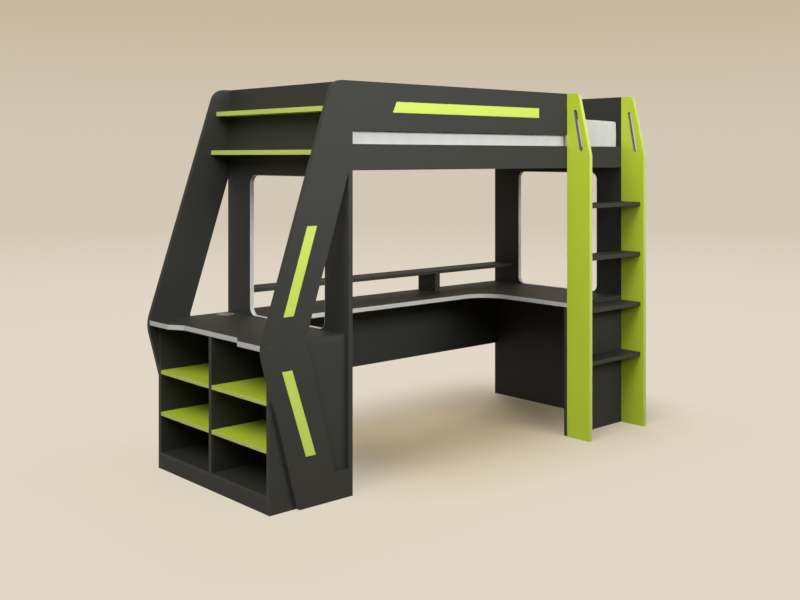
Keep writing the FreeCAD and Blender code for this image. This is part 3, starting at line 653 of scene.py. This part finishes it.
def loose_parts(node):
    """Points of each separate part of a node."""
    mesh = NODES[node].data
    points = read_points(mesh)
    keys, back = np.unique(np.round(points, 6), axis=0, return_inverse=True)
    back = back.ravel()
    home = list(range(len(keys)))

    def root(i):
        while home[i] != i:
            home[i] = home[home[i]]
            i = home[i]
        return i

    for face in mesh.polygons:
        corners = [root(int(back[v])) for v in face.vertices]
        for other in corners[1:]:
            home[other] = corners[0]
    parts = {}
    for i in range(len(keys)):
        parts.setdefault(root(i), []).append(keys[i])
    return [np.array(part) for part in parts.values()]


class Turned:
    """Rings of points round an axis, joined into closed skins."""

    def __init__(self, sides=48):
        self.sides = sides
        self.points = []
        self.faces = []

    def add(self, start, axis, profile):
        """Adds a closed skin; each ring of the profile is (distance along the axis, radius or outline)."""
        side = axis.orthogonal().normalized()
        up = axis.cross(side)
        first = len(self.points)
        for along, radius in profile:
            for k in range(self.sides):
                turn = 2 * math.pi * k / self.sides
                reach = radius(turn) if callable(radius) else radius
                spoke = side * math.cos(turn) + up * math.sin(turn)
                self.points.append(start + axis * along + spoke * reach)
        for ring in range(len(profile) - 1):
            for k in range(self.sides):
                a = first + ring * self.sides + k
                b = first + ring * self.sides + (k + 1) % self.sides
                self.faces.append((a, b, b + self.sides, a + self.sides))
        last = first + (len(profile) - 1) * self.sides
        self.faces.append(tuple(range(first + self.sides - 1, first - 1, -1)))
        self.faces.append(tuple(range(last, last + self.sides)))


def hexagon(across):
    """Outline of a hexagonal socket, as a radius for each turn."""
    return lambda turn: across / 2 / math.cos((turn + math.pi / 6) % (math.pi / 3) - math.pi / 6)


def cross(span, arm):
    """Outline of a cross-shaped socket, as a radius for each turn."""

    def radius(turn):
        turn = abs((turn + math.pi / 4) % (math.pi / 2) - math.pi / 4)
        return min(span / 2 / math.cos(turn), arm / 2 / max(math.sin(turn), 1e-6))

    return radius


def redraw_screws(node, name, socket, depth):
    """Draws each screw of a node again in its own place, with a rolled head and a driving socket."""
    turned = Turned()
    for part in loose_parts(node):
        low, high = part.min(0), part.max(0)
        axis = int(np.argmax(high - low))
        middle = (low + high) / 2
        reach = np.linalg.norm(np.delete(part - middle, axis, axis=1), axis=1)
        wide = reach.max()
        ends = [reach[np.isclose(part[:, axis], end, atol=1e-6)].max() for end in (low[axis], high[axis])]
        head_at_top = ends[1] > ends[0]
        shank = min(ends)
        headed = part[reach > (wide + shank) / 2][:, axis]
        tall = headed.max() - headed.min()
        length = high[axis] - low[axis]
        way = Vector([0.0, 0.0, 0.0])
        way[axis] = -1.0 if head_at_top else 1.0
        start = Vector(middle)
        start[axis] = high[axis] if head_at_top else low[axis]
        outline = socket(wide)
        sunk = [(depth, lambda turn: outline(turn) * 0.55), (depth, lambda turn: outline(turn) * 0.94),
                (0.0002, outline)]
        head = [(0.0, wide * 0.78), (tall * 0.08, wide * 0.93), (tall * 0.35, wide), (tall, wide)]
        stem = [(tall, shank), (length - shank * 0.6, shank), (length, shank * 0.55)]
        turned.add(start, way, sunk + head + stem)
    piece = mesh_piece(name, turned.points, turned.faces, "zinc plate")
    sharpen(piece, degrees=28)
    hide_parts(node)


def sharpen(piece, degrees):
    """Keeps the edges of a piece crisp where its faces turn by more than the angle."""
    mesh = piece.data
    corners = {}
    for face in mesh.polygons:
        for key in face.edge_keys:
            corners.setdefault(key, []).append(face.normal)
    for edge in mesh.edges:
        pair = corners[edge.key]
        edge.use_edge_sharp = len(pair) != 2 or pair[0].angle(pair[1], 0.0) > math.radians(degrees)


def redraw_caps():
    """Draws each cover cap again in its own place, with a low dome and a thin rim."""
    turned = Turned()
    for part in loose_parts("cover_caps"):
        low, high = part.min(0), part.max(0)
        axis = int(np.argmin(high - low))
        middle = Vector((low + high) / 2)
        radius = (high - low).max() / 2
        tall = high[axis] - low[axis]
        way = Vector([0.0, 0.0, 0.0])
        way[axis] = 1.0 if middle[axis] < 0 else -1.0
        start = middle.copy()
        start[axis] = low[axis] if way[axis] > 0 else high[axis]
        dome = [(0.0, radius * 0.2), (tall * 0.03, radius * 0.6), (tall * 0.09, radius * 0.84)]
        groove = [(tall * 0.16, radius * 0.87)]
        rim = [(tall * 0.06, radius * 0.92), (tall * 0.12, radius)]
        plug = [(tall, radius), (tall, radius * 0.5)]
        turned.add(start, way, dome + groove + rim + plug)
    piece = mesh_piece("domed_cover_caps", turned.points, turned.faces, "cap plastic")
    sharpen(piece, degrees=40)
    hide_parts("cover_caps")


SLOT_SPAN = (1.49, 1.72)  # heights between which the outline of a hand slot lies
SLOT_FRONT = 0.02  # more than this lies between the slot and the stile's front
SLOT_BACK = 0.005  # and more than this between the slot and the stile's back
LEAN_FROM = 1.5  # height above which the stile's front leans back
LEAN = 62 / 300


def slot_outline(side):
    """Outline of a stile's hand slot as (y, z), in order round its middle, and that middle."""
    low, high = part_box(f"{side}_ladder_stile")
    points = read_points(NODES[f"{side}_ladder_stile"].data)
    y, z = points[np.isclose(points[:, 0], low[0], atol=1e-5)][:, 1:].T
    front = low[1] + np.clip((z - LEAN_FROM) * LEAN, 0, None)
    inside = (z > SLOT_SPAN[0]) & (z < SLOT_SPAN[1]) & (y > front + SLOT_FRONT) & (y < high[1] - SLOT_BACK)
    loop = np.unique(np.round(np.stack([y, z], axis=1)[inside], 6), axis=0)
    middle = loop.mean(0)
    return loop[np.argsort(np.arctan2(*(loop - middle).T[::-1]))], middle


def line_hand_slot(side):
    """A dark grey band round the inside of a stile's hand slot, its grey a painted shade of the slit, with
    eased edges just inside the stile's faces.
    """
    band = bpy.context.scene.sleeper_boards.band
    low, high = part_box(f"{side}_ladder_stile")
    loop, middle = slot_outline(side)
    step = np.roll(loop, -1, axis=0) - np.roll(loop, 1, axis=0)
    inward = np.stack([-step[:, 1], step[:, 0]], axis=1) / np.linalg.norm(step, axis=1, keepdims=True)
    inward *= np.sign(((middle - loop) * inward).sum(axis=1, keepdims=True))
    shy, eased = 0.0002, 0.0006
    half_section = [(shy, 0.0), (shy, band * 0.8), (eased, band)]
    section = [(low[0] + depth, inset) for depth, inset in half_section]
    section += [(high[0] - depth, inset) for depth, inset in reversed(half_section)]
    rings = [[(x, y, z) for y, z in loop + inward * inset] for x, inset in section]
    count = len(loop)
    faces = []
    for ring in range(len(rings)):
        for k in range(count):
            after = (ring + 1) % len(rings)
            faces.append((ring * count + k, ring * count + (k + 1) % count,
                          after * count + (k + 1) % count, after * count + k))
    piece = mesh_piece(f"{side}_slot_shade_band", sum(rings, []), faces, "slot shade band")
    sharpen(piece, degrees=50)


# Operators, in the order in which they are called

class MixFinishes(Operator):
    """Mixes the finishes of boards, bands, slats, cover and fittings."""

    bl_idname = "sleeper.finishes"
    bl_label = "Finishes"

    def execute(self, context):
        boards = context.scene.sleeper_boards
        made = [
            band_plastic("slot shade band", boards.slot, gloss=0.42),
            strip_acrylic("lime strip", boards.inlay),
            band_plastic("pale band", boards.pale, gloss=0.42),
            band_plastic("grommet plastic", boards.grommet, gloss=0.38),
            band_plastic("cap plastic", boards.cap, gloss=0.55),
            planed_pine("slat pine", along="Y"),
            planed_pine("batten pine", along="X"),
            woven_tape("slat tape"),
            zinc_plate("zinc plate"),
            knitted_cover("knitted cover", context.scene.sleeper_mattress.cover),
        ]
        for thin in "XYZ":
            made += [
                melamine(f"charcoal board {thin}", boards.charcoal, boards.charcoal_edge, thin, gloss=0.58),
                melamine(f"lime board {thin}", boards.lime, boards.lime_edge, thin, gloss=0.4),
            ]
        MATERIALS.update((material.name, material) for material in made)
        return {"FINISHED"}


class SidePlates(Operator):
    """Bent side plates with their lime strips and cover caps."""

    bl_idname = "sleeper.side_plates"
    bl_label = "Side plates"

    def execute(self, context):
        coat("front_side_plate", "back_side_plate", using="charcoal board")
        coat("upper_inlay", "lower_inlay", using="lime strip")
        redraw_caps()
        return {"FINISHED"}


class EndPanels(Operator):
    """End panels with their banded windows."""

    bl_idname = "sleeper.end_panels"
    bl_label = "End panels"

    def execute(self, context):
        coat("head_end_panel", "foot_end_panel", using="charcoal board")
        coat("head_window_edging", "foot_window_edging", using="pale band")
        return {"FINISHED"}


class Rails(Operator):
    """Guard rails and side rails with the long lime strip."""

    bl_idname = "sleeper.rails"
    bl_label = "Rails"

    def execute(self, context):
        coat("front_guard_rail", "back_guard_rail", "front_side_rail", "back_side_rail",
             using="charcoal board")
        coat("rail_inlay", using="lime strip")
        return {"FINISHED"}


class Slats(Operator):
    """Slats, their tapes and the battens that carry them."""

    bl_idname = "sleeper.slats"
    bl_label = "Slats"

    def execute(self, context):
        coat("slats", "dowels", using="slat pine")
        coat("front_slat_batten", "back_slat_batten", using="batten pine")
        coat("slat_tapes", using="slat tape")
        return {"FINISHED"}


class Mattress(Operator):
    """Mattress with a filled knitted cover."""

    bl_idname = "sleeper.mattress"
    bl_label = "Mattress"

    def execute(self, context):
        sew_mattress()
        return {"FINISHED"}


class HeadShelves(Operator):
    """Two lime shelves between the plates at the head end."""

    bl_idname = "sleeper.head_shelves"
    bl_label = "Head shelves"

    def execute(self, context):
        coat("upper_head_shelf", "lower_head_shelf", using="lime board")
        return {"FINISHED"}


class Bookcase(Operator):
    """Bookcase with its lime shelves and their pins."""

    bl_idname = "sleeper.bookcase"
    bl_label = "Bookcase"

    def execute(self, context):
        coat("bookcase_near_side", "bookcase_far_side", "bookcase_divider", "bookcase_bottom",
             "bookcase_plinth", "bookcase_back", using="charcoal board")
        coat("near_upper_shelf", "near_lower_shelf", "far_upper_shelf", "far_lower_shelf", using="lime board")
        coat("shelf_pins", using="zinc plate")
        return {"FINISHED"}


class Desks(Operator):
    """Desk tops, their pale bands, what carries them, and the cable grommet."""

    bl_idname = "sleeper.desks"
    bl_label = "Desks"

    def execute(self, context):
        coat("left_desk_top", "corner_desk_top", "modesty_panel", "desk_leg_panel", "head_desk_cleat",
             "foot_desk_cleat", "monitor_shelf", "left_monitor_fin", "right_monitor_fin",
             using="charcoal board")
        coat("left_desk_edging", "corner_desk_edging", using="pale band")
        coat("grommet_sleeve", "grommet_cap", using="grommet plastic")
        return {"FINISHED"}


class Ladder(Operator):
    """Ladder stiles with banded hand slots, and treads."""

    bl_idname = "sleeper.ladder"
    bl_label = "Ladder"

    def execute(self, context):
        coat("left_ladder_stile", "right_ladder_stile", using="lime board")
        coat("ladder_tread_1", "ladder_tread_2", "ladder_tread_3", "ladder_tread_4", using="charcoal board")
        line_hand_slot("left")
        line_hand_slot("right")
        return {"FINISHED"}


class Fittings(Operator):
    """Brackets, nuts, bolts and screws."""

    bl_idname = "sleeper.fittings"
    bl_label = "Fittings"

    def execute(self, context):
        coat("corner_brackets", "barrel_nuts", using="zinc plate")
        redraw_screws("rail_bolts", "socket_bolts", lambda wide: hexagon(wide * 0.72), depth=0.0022)
        for node, name in (("ladder_screws", "ladder_cross_screws"), ("desk_screws", "desk_cross_screws"),
                           ("bracket_screws", "bracket_cross_screws")):
            redraw_screws(node, name, lambda wide: cross(wide * 1.1, wide * 0.3), depth=0.0016)
        return {"FINISHED"}


class Stage(Operator):
    """Pale floor, plain backdrop, soft lamps and the camera."""

    bl_idname = "sleeper.stage"
    bl_label = "Stage"

    def execute(self, context):
        look = context.scene.sleeper_stage
        spread_floor(look)
        hang_backdrop(context.scene, look)
        hang_lamp("front lamp", place=(-0.1, -4.3, 2.6), aim=(-0.1, -0.4, 1.7), size=(4.0, 1.2),
                  power=look.key, spread=84)
        hang_lamp("side lamp", place=(-4.2, -1.7, 4.8), aim=(0.0, -0.2, 1.2), size=(3.4, 3.6),
                  power=look.fill, spread=100)
        back = hang_lamp("back lamp", place=(3.7, 4.0, 3.4), aim=(0.2, 0.2, 0.9), size=(3.0, 2.0),
                         power=look.back, spread=120)
        back.visible_glossy = False
        set_camera(context.scene, look)
        context.scene.view_settings.view_transform = "Standard"
        return {"FINISHED"}


def seen(paint):
    """1 for what the camera sees, itself or in metal and glass."""
    rays = [paint.node("ShaderNodeLightPath", out=name)
            for name in ("Is Camera Ray", "Is Glossy Ray", "Is Transmission Ray")]
    return paint.sum("MAXIMUM", paint.sum("MAXIMUM", rays[0], rays[1]), rays[2])


def beyond(paint, middle, half):
    """Distance on the floor from a rectangle, 0 inside it."""
    aside = paint.spot()
    for operation, by in (("SUBTRACT", middle), ("ABSOLUTE", None), ("SUBTRACT", half), ("MAXIMUM", None)):
        sockets = {"Vector": aside, "Vector_001": by} if by else {"Vector": aside}
        aside = paint.node("ShaderNodeVectorMath", {"operation": operation}, sockets)
    return paint.node("ShaderNodeVectorMath", {"operation": "LENGTH"}, {"Vector": aside}, out="Value")


FLOOR_RINGS = (2.5, 5.0, 9.0, 16.0, 40.0)
FLOOR_SIDES = 96
FLOOR_DROP = 0.0005  # keeps the floor off the underside of the boards
SHADE_MIDDLE = (0.5, 0.1, 0.0)  # of the rectangle where the bed's shade is deepest
SHADE_HALF = (0.55, 0.1, 0.0)
SHADE_REACH = 0.95
HALO_REACH = 0.8
HALO_SHARE = 0.15  # of the fade that starts at the bed's outline
DRIFT = (2.0, 18.0)  # distances from the bed between which the floor takes the horizon's colour
HORIZON_RISE = 0.16  # height on the backdrop at which the colour overhead is reached


def pale_floor(look):
    """Matte floor with the bed's shade, which turns into a plain sweep away from the bed."""

    def varied(paint):
        cloud = paint.cloud(paint.spot(), scale=0.6)
        tint = paint.mix(cloud, tone(look.floor, 0.985), tone(look.floor, 1.015))
        return {"Base Color": paint.mix(seen(paint), tone(look.floor, look.bounce), tint)}

    material = finish("pale floor", {"Specular IOR Level": 0.15, "Roughness": 0.8}, varied)
    tree = material.node_tree
    paint = Paint(tree)
    shader = next(n for n in tree.nodes if n.type == "BSDF_PRINCIPLED")
    output = next(n for n in tree.nodes if n.type == "OUTPUT_MATERIAL")
    from_shade = beyond(paint, SHADE_MIDDLE, SHADE_HALF)
    from_bed = beyond(paint, (0.0, 0.0, 0.0), (*CAD_BOX[1].xy, 0.0))
    fade = (paint.ramp(from_shade, 0.0, SHADE_REACH) * (1 - HALO_SHARE)
            + paint.ramp(from_bed, 0.0, HALO_REACH) * HALO_SHARE)
    sweep = paint.mix(paint.ramp(from_bed, *DRIFT), tone(look.sweep), tone(look.haze))
    far = paint.node("ShaderNodeEmission", None, {"Color": sweep, "Strength": 1.0})
    near = Wire(paint, shader.outputs["BSDF"])
    blend = paint.node("ShaderNodeMixShader", None,
                       {"Fac": fade * seen(paint), "Shader": near, "Shader_001": far})
    tree.links.new(blend.socket, output.inputs["Surface"])
    return material


def spread_floor(look):
    """A wide round floor under the bed."""
    points = [(0.0, 0.0, 0.0)]
    faces = []
    for number, radius in enumerate(FLOOR_RINGS):
        first = len(points)
        for k in range(FLOOR_SIDES):
            turn = 2 * math.pi * k / FLOOR_SIDES
            points.append((radius * math.cos(turn), radius * math.sin(turn), 0.0))
        for k in range(FLOOR_SIDES):
            after = first + (k + 1) % FLOOR_SIDES
            if number == 0:
                faces.append((0, first + k, after))
            else:
                faces.append((first + k - FLOOR_SIDES, first + k, after, after - FLOOR_SIDES))
    mesh = bpy.data.meshes.new("floor")
    mesh.from_pydata(points, [], faces)
    mesh.materials.append(pale_floor(look))
    floor = bpy.data.objects.new("floor", mesh)
    floor.location.z = -FLOOR_DROP
    bpy.context.scene.collection.objects.link(floor)


def hang_backdrop(scene, look):
    """Backdrop colour for the camera, even white light for everything else."""
    world = bpy.data.worlds.new("studio")
    world.use_nodes = True
    scene.world = world
    tree = world.node_tree
    tree.nodes.clear()
    paint = Paint(tree)
    place = paint.node("ShaderNodeTexCoord", out="Generated")
    height = paint.node("ShaderNodeSeparateXYZ", None, {"Vector": place}, out="Z")
    colour = paint.mix(paint.ramp(height, 0.0, HORIZON_RISE), tone(look.haze), tone(look.sky))
    light = paint.node("ShaderNodeBackground", None, {"Color": (1, 1, 1, 1), "Strength": look.ambient})
    shown = paint.node("ShaderNodeBackground", None, {"Color": colour, "Strength": 1.0})
    blend = paint.node("ShaderNodeMixShader", None,
                       {"Fac": seen(paint), "Shader": light, "Shader_001": shown})
    paint.node("ShaderNodeOutputWorld", None, {"Surface": blend})


def hang_lamp(name, place, aim, size, power, spread):
    """A soft rectangular lamp at a place, turned to its aim; spread is in degrees."""
    data = bpy.data.lights.new(name, "AREA")
    data.shape = "RECTANGLE"
    data.size, data.size_y = size
    data.energy = power
    data.spread = math.radians(spread)
    lamp = bpy.data.objects.new(name, data)
    lamp.location = place
    lamp.rotation_euler = (Vector(aim) - Vector(place)).to_track_quat("-Z", "Y").to_euler()
    bpy.context.scene.collection.objects.link(lamp)
    return lamp


def set_camera(scene, look):
    """A level camera whose view is shifted down to the bed."""
    data = bpy.data.cameras.new("camera")
    data.lens = look.lens
    data.sensor_width = 36
    data.shift_y = look.drop
    camera = bpy.data.objects.new("camera", data)
    camera.location = look.eye
    camera.rotation_euler = (math.pi / 2, 0, -look.yaw)
    scene.collection.objects.link(camera)
    scene.camera = camera


SETTINGS = {
    "sleeper_boards": BoardSettings,
    "sleeper_mattress": MattressSettings,
    "sleeper_stage": StageSettings,
}
STEPS = (MixFinishes, SidePlates, EndPanels, Rails, Slats, Mattress, HeadShelves, Bookcase, Desks, Ladder,
         Fittings, Stage)


class SleeperPanel(Panel):
    """Lists the steps and the settings."""

    bl_idname = "VIEW3D_PT_sleeper"
    bl_label = "High sleeper"
    bl_space_type = "VIEW_3D"
    bl_region_type = "UI"
    bl_category = "Sleeper"

    def draw(self, context):
        for group in SETTINGS:
            box = self.layout.box()
            settings = getattr(context.scene, group)
            for name in settings.__annotations__:
                box.prop(settings, name)
        for step in STEPS:
            self.layout.operator(step.bl_idname)


def register():
    for kind in (*SETTINGS.values(), *STEPS, SleeperPanel):
        bpy.utils.register_class(kind)
    for name, kind in SETTINGS.items():
        setattr(bpy.types.Scene, name, PointerProperty(type=kind))


def unregister():
    for name in SETTINGS:
        delattr(bpy.types.Scene, name)
    for kind in (SleeperPanel, *reversed(STEPS), *SETTINGS.values()):
        bpy.utils.unregister_class(kind)


def main():
    """Registers the add-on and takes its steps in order."""
    register()
    for step in STEPS:
        space, name = step.bl_idname.split(".")
        getattr(getattr(bpy.ops, space), name)()


if __name__ == "__main__":
    main()
